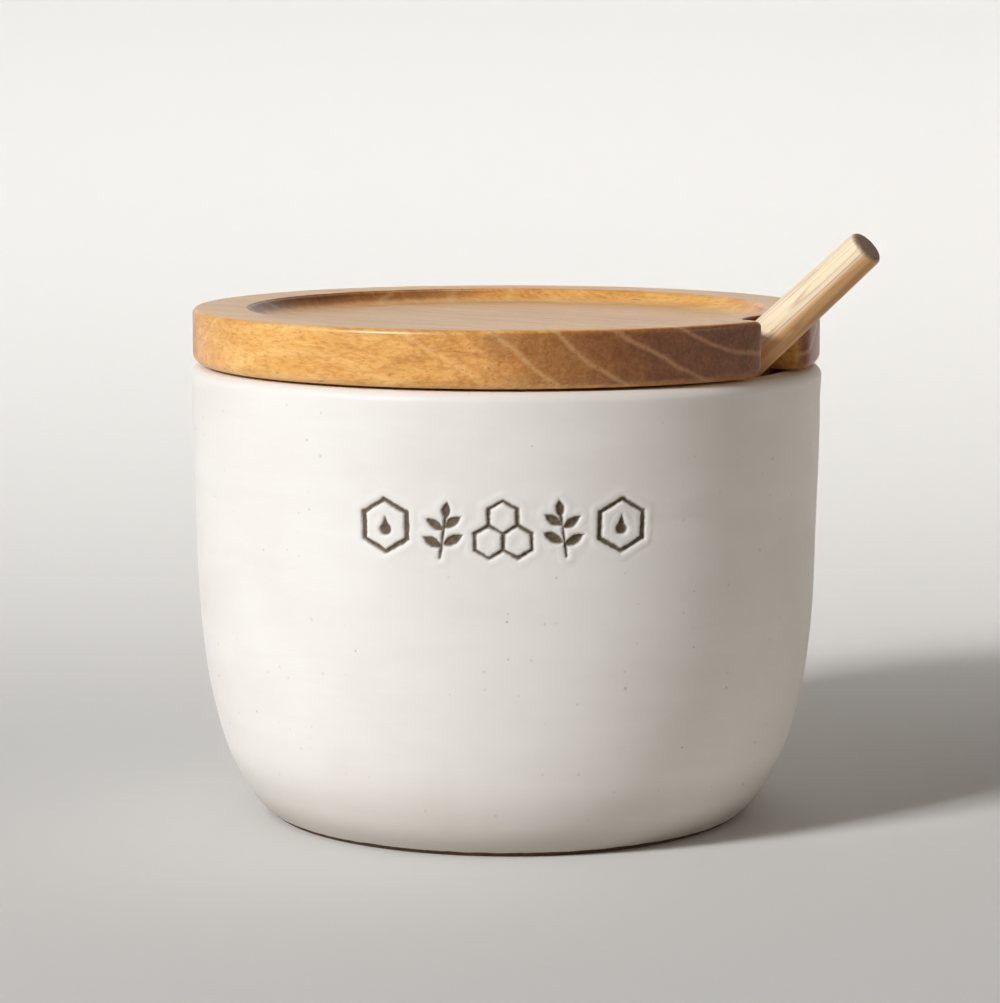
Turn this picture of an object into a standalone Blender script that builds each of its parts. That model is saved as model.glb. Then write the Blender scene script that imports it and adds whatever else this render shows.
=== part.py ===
"""Stoneware honey pot with a wooden lid and a honey dipper that leans out of the lid's notch.

Metres, +Z up. The origin is the centre of the pot's flat foot, and -Y is the pot's front.
"""

from math import cos, pi, radians, sin

import bmesh
import bpy
from mathutils import Vector

# Pot
RIM_RADIUS = 0.0554
RIM_HEIGHT = 0.0792
RIM_ROUNDING = 0.0018
LIP_ROUNDING = 0.0012
WALL = 0.0060
WAIST_RADIUS = 0.0546
WAIST_HEIGHT = 0.0445
CORNER_RADIUS = 0.0427
CORNER_HEIGHT = 0.0009
CORNER_SLOPE = radians(41)
# How far the corner's curve keeps the wall's and the foot's direction, as shares of its chord.
WALL_PULL = 0.28
FOOT_PULL = 0.295
FLOOR_THICKNESS = 0.0060
FLOOR_COVE_RUN = 0.0110
FLOOR_COVE_RISE = 0.0045
FOOT_INSET = 0.0009
FOOT_HEIGHT = 0.0007
FOOT_EDGE = 0.0003

# Lid
LID_RADIUS = 0.0550
LID_THICKNESS = 0.0096
LID_GAP = 0.0004
LID_TOP_ROUNDING = 0.0009
LID_LOW_ROUNDING = 0.0019
RECESS_RADIUS = 0.0452
RECESS_DEPTH = 0.0024
RECESS_COVE = 0.0022
RECESS_CREST = 0.0006
PLUG_RADIUS = 0.0484
PLUG_DEPTH = 0.0040
PLUG_CHAMFER = 0.0008
NOTCH_WIDTH = 0.0155
NOTCH_CORNER = 0.0050
NOTCH_CLEARANCE = 0.0004

# Dipper
DIPPER_AZIMUTH = radians(59.9)
DIPPER_RISE = radians(41.5)
HANDLE_RADIUS = 0.0038
TIP_RADIUS = 0.0032
TIP_ROUNDING = 0.0009
HANDLE_ABOVE_RIM = 0.0338
HANDLE_BELOW_RIM = 0.0720
HANDLE_TAPER = 0.0200
NECK_RADIUS = 0.0034
NECK_LENGTH = 0.0040
HEAD_LENGTH = 0.0330
HEAD_RADIUS = 0.0098
RIBS = 6
GROOVE_DEPTH = 0.0036
# The head swells as a stretch of a sine, raised to a power that makes it fuller.
HEAD_START = 0.14
HEAD_SPAN = 0.76
HEAD_FULLNESS = 0.55
# Each rib, as (share of the pitch from its top, share of the groove's depth).
RIB_SHAPE = ((0.12, 1.0), (0.30, 0.12), (0.55, 0.0), (0.80, 0.12), (0.96, 1.0))
CONTACT_GAP = 0.0004

TURN_STEPS = 64
HANDLE_STEPS = 24
MERGE = 0.00005
CUTTER_REACH = 0.060

LID_BOTTOM = RIM_HEIGHT + LID_GAP
LID_TOP = LID_BOTTOM + LID_THICKNESS

# The dipper leans outwards over the front right of the rim.
OUTWARDS = Vector((sin(DIPPER_AZIMUTH), -cos(DIPPER_AZIMUTH), 0.0))
LEAN = (OUTWARDS * cos(DIPPER_RISE) + Vector((0.0, 0.0, sin(DIPPER_RISE)))).normalized()


def remove_everything():
    for item in list(bpy.data.objects):
        bpy.data.objects.remove(item, do_unlink=True)


def new_collection(name):
    collection = bpy.data.collections.new(name)
    bpy.context.scene.collection.children.link(collection)
    return collection


def material(name, colour, roughness):
    made = bpy.data.materials.new(name)
    made.use_nodes = True
    surface = made.node_tree.nodes["Principled BSDF"]
    surface.inputs["Base Color"].default_value = (*colour, 1.0)
    surface.inputs["Roughness"].default_value = roughness
    surface.inputs["Metallic"].default_value = 0.0
    return made


def arc(centre_r, centre_z, radius, start_deg, end_deg, steps):
    """Points (r, z) on an arc, both ends included."""
    points = []
    for i in range(steps + 1):
        a = radians(start_deg + (end_deg - start_deg) * i / steps)
        points.append((centre_r + radius * cos(a), centre_z + radius * sin(a)))
    return points


def cubic(p0, p1, p2, p3, steps):
    """Points (r, z) on a Bezier curve, both ends included."""
    points = []
    for i in range(steps + 1):
        t = i / steps
        k = ((1 - t) ** 3, 3 * t * (1 - t) ** 2, 3 * t * t * (1 - t), t ** 3)
        r = k[0] * p0[0] + k[1] * p1[0] + k[2] * p2[0] + k[3] * p3[0]
        z = k[0] * p0[1] + k[1] * p1[1] + k[2] * p2[1] + k[3] * p3[1]
        points.append((r, z))
    return points


def turned(name, profile, steps, collection):
    """A body of revolution about Z from a profile of (r, z), outer side top to bottom."""
    mesh = bpy.data.meshes.new(name)
    edges = [(i, i + 1) for i in range(len(profile) - 1)]
    mesh.from_pydata([(r, 0.0, z) for r, z in profile], edges, [])
    made = bpy.data.objects.new(name, mesh)
    collection.objects.link(made)
    screw = made.modifiers.new("turn", "SCREW")
    screw.axis = "Z"
    screw.angle = 2 * pi
    screw.steps = steps
    screw.render_steps = steps
    screw.use_merge_vertices = True
    screw.merge_threshold = MERGE
    screw.use_smooth_shade = True
    return made


def apply_modifiers(made):
    """Replaces the object's mesh by what its modifiers make of it."""
    bpy.context.view_layer.update()
    evaluated = made.evaluated_get(bpy.context.evaluated_depsgraph_get())
    mesh = bpy.data.meshes.new_from_object(evaluated)
    made.modifiers.clear()
    made.data = mesh


def shade(made, angle_deg=35):
    made.data.shade_smooth()
    made.data.set_sharp_from_angle(angle=radians(angle_deg))


def body_curve(offset, steps):
    """The rounded lower corner, moved inwards from the outer surface by offset."""
    down = Vector((WAIST_RADIUS - RIM_RADIUS, WAIST_HEIGHT - RIM_HEIGHT)).normalized()
    inward = Vector((-cos(CORNER_SLOPE), -sin(CORNER_SLOPE)))
    start = Vector((WAIST_RADIUS, WAIST_HEIGHT))
    end = Vector((CORNER_RADIUS, CORNER_HEIGHT))
    reach = (end - start).length
    upper = start + down * reach * WALL_PULL
    lower = end - inward * reach * FOOT_PULL
    curve = cubic(start, upper, lower, end, steps)
    if offset == 0:
        return curve
    moved = []
    for i, (r, z) in enumerate(curve):
        before = Vector(curve[max(i - 1, 0)])
        after = Vector(curve[min(i + 1, steps)])
        along = (after - before).normalized()
        moved.append((r + along.y * offset, z - along.x * offset))
    return moved


def pot_profile():
    """From the middle of the inside floor, up the inner wall, over the rim and down to the foot."""
    inner_radius = RIM_RADIUS - WALL
    floor = FLOOR_THICKNESS
    inside = [p for p in reversed(body_curve(WALL, 12)) if p[1] > floor + FLOOR_COVE_RISE]
    wall_r, wall_z = inside[0]
    start = (wall_r - FLOOR_COVE_RUN, floor)
    flat = (wall_r - FLOOR_COVE_RUN / 2, floor)
    steep = (wall_r - FLOOR_COVE_RUN / 5, wall_z - FLOOR_COVE_RISE / 2)
    cove = cubic(start, flat, steep, (wall_r, wall_z), 5)
    lip = arc(inner_radius + LIP_ROUNDING, RIM_HEIGHT - LIP_ROUNDING, LIP_ROUNDING, 180, 90, 4)
    rim = arc(RIM_RADIUS - RIM_ROUNDING, RIM_HEIGHT - RIM_ROUNDING, RIM_ROUNDING, 90, 0, 5)
    outside = body_curve(0, 16)
    foot_radius = CORNER_RADIUS - FOOT_INSET
    foot = [
        (foot_radius, FOOT_HEIGHT),
        (foot_radius, FOOT_EDGE),
        (foot_radius - FOOT_EDGE, 0.0),
        (0.0, 0.0),
    ]
    return [(0.0, floor)] + cove[:-1] + inside + lip + rim + outside + foot


def make_pot(collection):
    pot = turned("pot", pot_profile(), TURN_STEPS, collection)
    pot.data.materials.append(material("stoneware", (0.76, 0.74, 0.69), 0.38))
    apply_modifiers(pot)
    shade(pot)


def lid_profile():
    """From the middle of the recess, over the raised ring, down the edge and round the plug."""
    floor = LID_TOP - RECESS_DEPTH
    cove = arc(RECESS_RADIUS - RECESS_COVE, floor + RECESS_COVE, RECESS_COVE, -90, -12, 4)
    crest = RECESS_CREST
    inner_edge = arc(RECESS_RADIUS + crest, LID_TOP - crest, crest, 170, 90, 3)
    top = arc(LID_RADIUS - LID_TOP_ROUNDING, LID_TOP - LID_TOP_ROUNDING, LID_TOP_ROUNDING, 90, 0, 4)
    low = arc(LID_RADIUS - LID_LOW_ROUNDING, LID_BOTTOM + LID_LOW_ROUNDING, LID_LOW_ROUNDING, 0, -90, 5)
    plug_low = LID_BOTTOM - PLUG_DEPTH
    plug = [
        (PLUG_RADIUS, LID_BOTTOM),
        (PLUG_RADIUS, plug_low + PLUG_CHAMFER),
        (PLUG_RADIUS - PLUG_CHAMFER, plug_low),
        (0.0, plug_low),
    ]
    return [(0.0, floor)] + cove + inner_edge + top + low + plug


def along_the_dipper(sideways, above, along):
    """A point given by its distances sideways from, above and along the dipper's axis."""
    side = Vector((0.0, 0.0, 1.0)).cross(OUTWARDS)
    up = side.cross(LEAN) * -1.0
    return axis_start() + side * sideways + up * above + LEAN * along


def axis_start():
    """Where the dipper's axis crosses the rim's height, with the handle resting on the inner lip."""
    lip_centre_r = RIM_RADIUS - WALL + LIP_ROUNDING
    reach = LIP_ROUNDING + HANDLE_RADIUS + CONTACT_GAP
    drop = LIP_ROUNDING
    r = lip_centre_r + (drop * cos(DIPPER_RISE) - reach) / sin(DIPPER_RISE)
    return OUTWARDS * r + Vector((0.0, 0.0, RIM_HEIGHT))


def notch_cutter(collection):
    """A slot that follows the dipper: upright side walls, and an inner end that slopes with it."""
    half = NOTCH_WIDTH / 2
    top = HANDLE_RADIUS + NOTCH_CLEARANCE
    outline = [(half, -CUTTER_REACH)]
    outline += arc(half - NOTCH_CORNER, top - NOTCH_CORNER, NOTCH_CORNER, 0, 90, 4)
    outline += arc(NOTCH_CORNER - half, top - NOTCH_CORNER, NOTCH_CORNER, 90, 180, 4)
    outline += [(-half, -CUTTER_REACH)]
    mesh = bpy.data.meshes.new("notch_cutter")
    shape = bmesh.new()
    ends = []
    for along in (-CUTTER_REACH, CUTTER_REACH):
        ends.append([shape.verts.new(along_the_dipper(x, y, along)) for x, y in outline])
    count = len(outline)
    shape.faces.new(ends[0])
    shape.faces.new(list(reversed(ends[1])))
    for i in range(count):
        j = (i + 1) % count
        shape.faces.new((ends[0][j], ends[0][i], ends[1][i], ends[1][j]))
    bmesh.ops.recalc_face_normals(shape, faces=shape.faces)
    shape.to_mesh(mesh)
    shape.free()
    cutter = bpy.data.objects.new("notch_cutter", mesh)
    cutter.hide_render = True
    cutter.display_type = "WIRE"
    collection.objects.link(cutter)
    return cutter


def make_lid(collection, cutters):
    lid = turned("lid", lid_profile(), TURN_STEPS, collection)
    lid.data.materials.append(material("lid_wood", (0.42, 0.22, 0.08), 0.5))
    apply_modifiers(lid)
    cut = lid.modifiers.new("notch", "BOOLEAN")
    cut.operation = "DIFFERENCE"
    cut.solver = "EXACT"
    cut.object = notch_cutter(cutters)
    apply_modifiers(lid)
    shade(lid)


def head_profile():
    """The grooved head, top to bottom, as heights above its lower end."""
    pitch = HEAD_LENGTH / RIBS
    points = []
    for rib in range(RIBS):
        top = HEAD_LENGTH - rib * pitch
        for share, depth in RIB_SHAPE:
            z = top - share * pitch
            swell = sin(pi * (HEAD_START + HEAD_SPAN * (HEAD_LENGTH - z) / HEAD_LENGTH))
            r = HEAD_RADIUS * swell ** HEAD_FULLNESS - depth * GROOVE_DEPTH
            points.append((max(r, NECK_RADIUS), z))
    return points[:-1]


def dipper_profile():
    """From the middle of the handle's tip down to the middle of the head's end."""
    rim = HEAD_LENGTH + HANDLE_BELOW_RIM
    length = rim + HANDLE_ABOVE_RIM
    tip = arc(TIP_RADIUS - TIP_ROUNDING, length - TIP_ROUNDING, TIP_ROUNDING, 90, 12, 3)
    handle = [
        (HANDLE_RADIUS, rim),
        (HANDLE_RADIUS, rim - HANDLE_TAPER),
        (NECK_RADIUS, HEAD_LENGTH + NECK_LENGTH),
    ]
    head = head_profile()
    last_r, last_z = head[-1]
    end = [(last_r * 0.9, last_z * 0.5), (last_r * 0.7, 0.0), (0.0, 0.0)]
    return [(0.0, length)] + tip + handle + head + end


def make_dipper(collection):
    dipper = turned("dipper", dipper_profile(), HANDLE_STEPS, collection)
    dipper.data.materials.append(material("dipper_wood", (0.72, 0.52, 0.31), 0.55))
    apply_modifiers(dipper)
    shade(dipper)
    dipper.location = axis_start() - LEAN * (HEAD_LENGTH + HANDLE_BELOW_RIM)
    dipper.rotation_euler = LEAN.to_track_quat("Z", "Y").to_euler()


def main():
    remove_everything()
    parts = new_collection("honey_pot")
    cutters = new_collection("cutters")
    make_pot(parts)
    make_lid(parts, cutters)
    make_dipper(parts)


main()
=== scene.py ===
"""Looks of the stoneware honey pot: fine meshes, glaze, wood, floor, light and camera.

Metres, +Z up, in the frame's own axes. The pot's axis is the Z axis and its front faces -Y.
"""

import math

import bpy
import numpy as np
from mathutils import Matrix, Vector


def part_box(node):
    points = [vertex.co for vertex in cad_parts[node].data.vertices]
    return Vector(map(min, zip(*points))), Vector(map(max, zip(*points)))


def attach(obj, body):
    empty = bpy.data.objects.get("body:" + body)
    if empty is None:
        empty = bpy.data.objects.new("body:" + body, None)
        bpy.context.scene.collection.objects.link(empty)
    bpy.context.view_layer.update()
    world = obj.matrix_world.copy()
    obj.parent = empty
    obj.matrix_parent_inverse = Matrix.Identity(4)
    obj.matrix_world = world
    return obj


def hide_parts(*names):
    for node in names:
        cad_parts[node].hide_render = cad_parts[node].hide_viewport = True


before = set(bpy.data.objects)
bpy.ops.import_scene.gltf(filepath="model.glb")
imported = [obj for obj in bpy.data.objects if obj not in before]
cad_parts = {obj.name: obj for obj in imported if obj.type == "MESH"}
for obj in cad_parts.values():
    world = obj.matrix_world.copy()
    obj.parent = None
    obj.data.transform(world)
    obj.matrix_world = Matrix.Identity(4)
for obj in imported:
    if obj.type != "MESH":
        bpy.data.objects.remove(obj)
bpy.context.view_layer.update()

POT_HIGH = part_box("pot")[1]
LID_LOW, LID_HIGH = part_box("lid")

# The pot: its box comes from the frame, the other driving sizes are the solid's own
RIM_RADIUS = POT_HIGH.x
RIM_HEIGHT = POT_HIGH.z
RIM_ROUNDING = 0.0018
LIP_ROUNDING = 0.0012
WALL = 0.0060
WAIST_RADIUS = 0.0546
WAIST_HEIGHT = 0.0445
CORNER_RADIUS = 0.0427
CORNER_HEIGHT = 0.0009
CORNER_SLOPE = math.radians(41)
WALL_PULL = 0.28
FOOT_PULL = 0.295
FLOOR_THICKNESS = 0.0060
FLOOR_COVE_RUN = 0.0110
FLOOR_COVE_RISE = 0.0045
FOOT_INSET = 0.0009
FOOT_HEIGHT = 0.0007
FOOT_EDGE = 0.0003

# The pot's mesh: the distance between rows in each stretch, and the columns away from the ornament
POLE_RING = 0.002
INSIDE_STEP = 0.004
ABOVE_STEP = 0.0015
BELOW_STEP = 0.0013
CURVE_STEP = 0.0003
COARSE_COLUMNS = 170

# The thrown wall's unevenness, which fades out at the rim and the foot
THROWING_FINE = 0.00006
THROWING_BROAD = 0.00009
WALL_SINK = 0.00010
FADE_FOOT = (0.003, 0.016)
FADE_RIM = 0.006

# The lid. Its recess has a wider cove than the solid's, and its notch has rounder corners
LID_RADIUS = LID_HIGH.x
LID_TOP = LID_HIGH.z
LID_BOTTOM = RIM_HEIGHT + 0.0004
PLUG_BOTTOM = LID_LOW.z
LID_TOP_ROUNDING = 0.0009
LID_LOW_ROUNDING = 0.0019
RECESS_RADIUS = 0.0452
RECESS_DEPTH = 0.0024
RECESS_COVE = 0.0050
RECESS_CREST = 0.0006
RECESS_STEEPEST_DEG = 55
RECESS_RINGS = (0.004, 0.012, 0.022, 0.030, 0.037)
ROUNDING_STEPS = 8
LOW_SPLAY = 0.0006
PLUG_RADIUS = 0.0484
PLUG_CHAMFER = 0.0008
PLUG_STEP = 0.0012
PLUG_SPLAY = 0.0012
PLUG_MOUTH_ROUNDING = 0.0008
PLUG_RINGS = (0.028, 0.018, 0.008)
NOTCH_HALF = 0.00775
NOTCH_CORNER = 0.0068
NOTCH_STRAIGHT = 0.0004
NOTCH_MOUTH_ROUNDING = 0.0019
NOTCH_CLEARANCE = 0.0004
NOTCH_SPREAD = math.radians(42)

# The lid's wood: the fibres' direction, the rings' heart in the wood's own axes, and the rings.
# A ring's pale line is a share of the pitch. The wood is golden inside the dark radius, and the
# three ramps give the share of late wood, orange wood and dark wood
GRAIN_AZIMUTH = math.radians(50)
HEART = (0.0, -0.0006, 0.1190)
FIRST_RING = 0.0350
RING_PITCH = 0.0058
RING_LINE_HALF = 0.10
GRAIN_WAVE = 0.0045
DARK_RADIUS = 0.046
LATE_SHARE = [(0.0, 0.55), (0.42, 0.25), (0.50, 0.0), (0.60, 0.75), (1.0, 0.55)]
WARM_SHARE = [(0.22, 0.0), (0.50, 1.0)]
DARK_SHARE = [(0.47, 0.0), (0.65, 0.62), (0.80, 0.76), (0.93, 1.0)]

# The dipper
DIPPER_AZIMUTH = math.radians(59.9)
DIPPER_RISE = math.radians(41.5)
HANDLE_RADIUS = 0.0038
TIP_RADIUS = 0.0032
TIP_ROUNDING = 0.0009
HANDLE_ABOVE_RIM = 0.03379
HANDLE_BELOW_RIM = 0.0720
HANDLE_TAPER = 0.0200
NECK_RADIUS = 0.0034
NECK_LENGTH = 0.0040
HEAD_LENGTH = 0.0330
HEAD_RADIUS = 0.0098
RIBS = 6
GROOVE_DEPTH = 0.0036
HEAD_START = 0.14
HEAD_SPAN = 0.76
HEAD_FULLNESS = 0.55
RIB_CENTRE = 0.54
RIB_WIDTH = 1.45
RIB_ROUNDNESS = 2.6
DIPPER_COLUMNS = 72
CONTACT_GAP = 0.0004
OUTWARDS = Vector((math.sin(DIPPER_AZIMUTH), -math.cos(DIPPER_AZIMUTH), 0.0))
LEAN = OUTWARDS * math.cos(DIPPER_RISE) + Vector((0.0, 0.0, math.sin(DIPPER_RISE)))
DIPPER_LENGTH = HEAD_LENGTH + HANDLE_BELOW_RIM + HANDLE_ABOVE_RIM

# The stamped ornament on the pot's front, measured along the wall from the front's middle
STAMP_HEIGHT = 0.0570
STAMP_LEFT = -0.0006
STAMP_PITCH = 0.0098
STAMP_DEPTH = 0.00045
STAMP_BAND = 0.0072
STAMP_REACH = 0.0262
STAMP_GRID = 0.00020
STAMP_TILTS = (0.02, -0.03, 0.01, 0.035, -0.02)
STAMP_DROPS = (0.0002, -0.0003, -0.0001, 0.0001, 0.0004)
COMB_CELL = 0.00268
COMB_STROKES = (0.00078, 0.00068)
DROP_CELL = 0.0043
DROP_STROKES = (0.00098, 0.00084)
DROP_RADIUS = 0.00105
STEM_HALF = 0.00028
SPRIG_LEAVES = (
    ((0.0, -0.0024), (0.0032, -0.0006), 0.00088),
    ((0.0, -0.0028), (-0.0033, -0.0012), 0.00088),
    ((0.0002, 0.0004), (0.0029, 0.0024), 0.00080),
    ((0.0001, 0.0), (-0.0028, 0.0018), 0.00080),
    ((0.0003, 0.0018), (0.0006, 0.0047), 0.00078),
)
FAR_OFF = 1.0

# How a stamped stroke looks by the distance from its edge, negative inside it: the pressed wall,
# the clay raised beside it, the brown in it, and the paler glaze round it
PRESS_EDGE = (0.00016, -0.00030)
RAISED_PLACE = 0.00075
RAISED_WIDTH = 0.00050
RAISED_HEIGHT = 0.00007
INK_EDGE = (0.00010, -0.00022)
HALO_REACH = 0.0011

# The glaze: painted shade just above the foot, where the lower curve turns down from the light, and the
# glaze worn off the foot's own edge
FOOT_PAINTED_SHADE_HEIGHT = 0.016
FOOT_PAINTED_SHADE_SHARE = [(0.10, 1.0), (0.45, 0.45), (0.90, 0.0)]
BARE_HEIGHT = 0.00085
BARE_WANDER = 0.0005

# The dipper's wood, measured across it: where the redder underside ends, and the thin seam there. The
# underside's colour is partly real core wood and partly a painted warm bounce of light from the lid
CORE_AND_BOUNCE_TO_SAP = (-0.0018, -0.0008)
SEAM_PLACE = -0.0010
SEAM_HALF = 0.00016
SEAM_WANDER = 0.0016

# Camera, fitted to the outline of lid, pot and foot
CAMERA_DISTANCE = 0.600
CAMERA_HEIGHT = 0.1328
CAMERA_LEFT = 0.0011
CAMERA_PITCH = math.radians(7.44)
FOCAL_PIXELS = 3413.0
PICTURE_SIDE = 1003.0
SENSOR = 36.0

# Floor and light
FLOOR_NEAR = -4.0
FLOOR_FAR = 0.14
SWEEP_RADIUS = 0.75
SWEEP_TOP = 2.6
SWEEP_HALF = 4.0
LIGHT_AIM = 0.045
KEY_WHITE = (0.945, 0.955, 0.985)
FILL_WARM = (1.0, 0.89, 0.79)
WASH_WHITE = (1.0, 0.99, 0.975)
SHEEN_WHITE = (1.0, 0.97, 0.93)
HORIZON = (0.10, (0.42, 0.41, 0.40, 1.0))
SKY = (0.24, (0.050, 0.045, 0.040, 1.0))
FLOOR_DEEPENS = (0.08, 0.65)

# Colours are linear red, green and blue. A list is a ramp's stops, each a place and a colour.
# A pair is a tone in golden wood and the same tone in dark wood
GLAZE = [(0.32, (0.750, 0.712, 0.655)), (0.52, (0.795, 0.762, 0.710)), (0.72, (0.825, 0.798, 0.752))]
GLAZE_BAND = (0.70, 0.67, 0.62)
GLAZE_HALO = (0.85, 0.835, 0.81)
# Painted shade for the glaze just above the foot
FOOT_PAINTED_SHADE_COLOUR = (0.40, 0.37, 0.315)
SMALL_SPECK = (0.27, 0.225, 0.165)
LARGE_SPECK = (0.33, 0.27, 0.19)
STAMP_BROWN = [(0.30, (0.085, 0.060, 0.036)), (0.70, (0.165, 0.125, 0.078))]
BARE_CLAY = [(0.3, (0.075, 0.040, 0.020)), (0.7, (0.150, 0.085, 0.045))]
GOLDEN = [(0.30, (0.55, 0.225, 0.038)), (0.48, (0.77, 0.385, 0.088)), (0.68, (0.92, 0.555, 0.195))]
ORANGE = [(0.30, (0.50, 0.180, 0.036)), (0.48, (0.71, 0.310, 0.074)), (0.68, (0.88, 0.460, 0.145))]
WALNUT = [(0.30, (0.135, 0.040, 0.010)), (0.50, (0.215, 0.068, 0.016)), (0.70, (0.290, 0.102, 0.028))]
LATE_WOOD = ((0.52, 0.21, 0.036), (0.11, 0.036, 0.010))
RING_LINE = ((0.92, 0.62, 0.26), (0.50, 0.250, 0.110))
LIGHT_FLECK = ((0.92, 0.61, 0.24), (0.34, 0.138, 0.048))
DARK_FLECK = ((0.46, 0.180, 0.030), (0.085, 0.026, 0.008))
PORE = (0.10, 0.040, 0.014)
# Painted sheen on the lid's upward faces
TOP_PAINTED_SHEEN = (0.98, 0.70, 0.44)
SAPWOOD = [(0.34, (0.76, 0.590, 0.370)), (0.48, (0.86, 0.710, 0.490)), (0.66, (0.90, 0.780, 0.590))]
# Partly core wood, partly painted warm bounce light on the dipper's underside
CORE_AND_PAINTED_BOUNCE = [(0.34, (0.56, 0.285, 0.115)), (0.48, (0.72, 0.410, 0.180)), (0.66, (0.80, 0.510, 0.260))]
SEAM = (0.40, 0.205, 0.080)
GRAIN_LINE = (0.36, 0.195, 0.080)
RAY = (0.40, 0.23, 0.10)
SAWN_END = [(0.35, (0.190, 0.120, 0.065)), (0.65, (0.430, 0.310, 0.200))]
FLOOR_PALE = (0.72, 0.705, 0.675)
FLOOR_DEEPER = (0.58, 0.575, 0.56)
FLOOR_MOTTLE = (0.60, 0.58, 0.55)


def arc(centre_r, centre_z, radius, start_deg, end_deg, steps):
    """Points (r, z) on an arc, both ends included."""
    a = np.radians(np.linspace(start_deg, end_deg, steps + 1))
    return np.c_[centre_r + radius * np.cos(a), centre_z + radius * np.sin(a)]


def cubic(p0, p1, p2, p3, steps):
    """Points (r, z) on a Bezier curve, both ends included."""
    t = np.linspace(0, 1, steps + 1)[:, None]
    p0, p1, p2, p3 = (np.array(p, float) for p in (p0, p1, p2, p3))
    return (1 - t) ** 3 * p0 + 3 * t * (1 - t) ** 2 * p1 + 3 * t * t * (1 - t) * p2 + t ** 3 * p3


def resample(points, spacing):
    """The same line with points about spacing apart."""
    steps = np.r_[0, np.cumsum(np.linalg.norm(np.diff(points, axis=0), axis=1))]
    count = max(2, int(math.ceil(steps[-1] / spacing)) + 1)
    at = np.linspace(0, steps[-1], count)
    return np.c_[np.interp(at, steps, points[:, 0]), np.interp(at, steps, points[:, 1])]


def smoothstep(low, high, x):
    """From 0 at low to 1 at high, level at both."""
    t = np.clip((x - low) / (high - low), 0, 1)
    return t * t * (3 - 2 * t)


def hash_noise(ix, iy, seed):
    """A repeatable value from 0 to 1 for each whole-number grid place."""
    n = np.sin(ix * 127.1 + iy * 311.7 + seed * 74.7) * 43758.5453
    return n - np.floor(n)


def value_noise(x, y, seed):
    """Smooth noise from -1 to 1 over a plane."""
    ix, iy = np.floor(x), np.floor(y)
    fx, fy = x - ix, y - iy
    fx, fy = fx * fx * (3 - 2 * fx), fy * fy * (3 - 2 * fy)
    low = hash_noise(ix, iy, seed) * (1 - fx) + hash_noise(ix + 1, iy, seed) * fx
    high = hash_noise(ix, iy + 1, seed) * (1 - fx) + hash_noise(ix + 1, iy + 1, seed) * fx
    return (low * (1 - fy) + high * fy) * 2 - 1


def ring_noise(angle, along, turns, seed):
    """Noise that closes round the axis: angle in radians, turns whole cells round."""
    a = angle / (2 * math.pi) * turns
    ia, iy = np.floor(a), np.floor(along)
    fa, fy = a - ia, along - iy
    fa, fy = fa * fa * (3 - 2 * fa), fy * fy * (3 - 2 * fy)
    ja = np.mod(ia + 1, turns)
    ia = np.mod(ia, turns)
    low = hash_noise(ia, iy, seed) * (1 - fa) + hash_noise(ja, iy, seed) * fa
    high = hash_noise(ia, iy + 1, seed) * (1 - fa) + hash_noise(ja, iy + 1, seed) * fa
    return (low * (1 - fy) + high * fy) * 2 - 1


def object_from(name, verts, faces):
    """A smooth-shaded mesh object at the origin."""
    mesh = bpy.data.meshes.new(name)
    mesh.from_pydata([tuple(v) for v in verts], [], faces)
    mesh.validate()
    mesh.shade_smooth()
    made = bpy.data.objects.new(name, mesh)
    bpy.context.scene.collection.objects.link(made)
    return made


def rings_to_faces(ring_count, per_ring):
    """Quads between closed rings, with a fan to a pole at either end.

    The two poles come after all the rings' points. The rings run from the body's upper pole to its
    lower one, each counter-clockwise seen from above, so the faces point out.
    """
    faces = []
    first = ring_count * per_ring
    last = first + 1
    for i in range(ring_count - 1):
        a, b = i * per_ring, (i + 1) * per_ring
        for j in range(per_ring):
            k = (j + 1) % per_ring
            faces.append((b + j, b + k, a + k, a + j))
    end = (ring_count - 1) * per_ring
    for j in range(per_ring):
        k = (j + 1) % per_ring
        faces.append((j, k, first))
        faces.append((end + k, end + j, last))
    return faces


def body_curve(offset, steps):
    """The pot's rounded lower corner, moved inwards from the outer surface by offset."""
    start = np.array((WAIST_RADIUS, WAIST_HEIGHT))
    end = np.array((CORNER_RADIUS, CORNER_HEIGHT))
    down = np.array((WAIST_RADIUS - RIM_RADIUS, WAIST_HEIGHT - RIM_HEIGHT))
    down /= np.linalg.norm(down)
    inward = np.array((-math.cos(CORNER_SLOPE), -math.sin(CORNER_SLOPE)))
    reach = np.linalg.norm(end - start)
    upper = start + down * reach * WALL_PULL
    lower = end - inward * reach * FOOT_PULL
    curve = cubic(start, upper, lower, end, steps)
    along = np.gradient(curve, axis=0)
    along /= np.linalg.norm(along, axis=1)[:, None]
    return curve + np.c_[along[:, 1], -along[:, 0]] * offset


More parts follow.
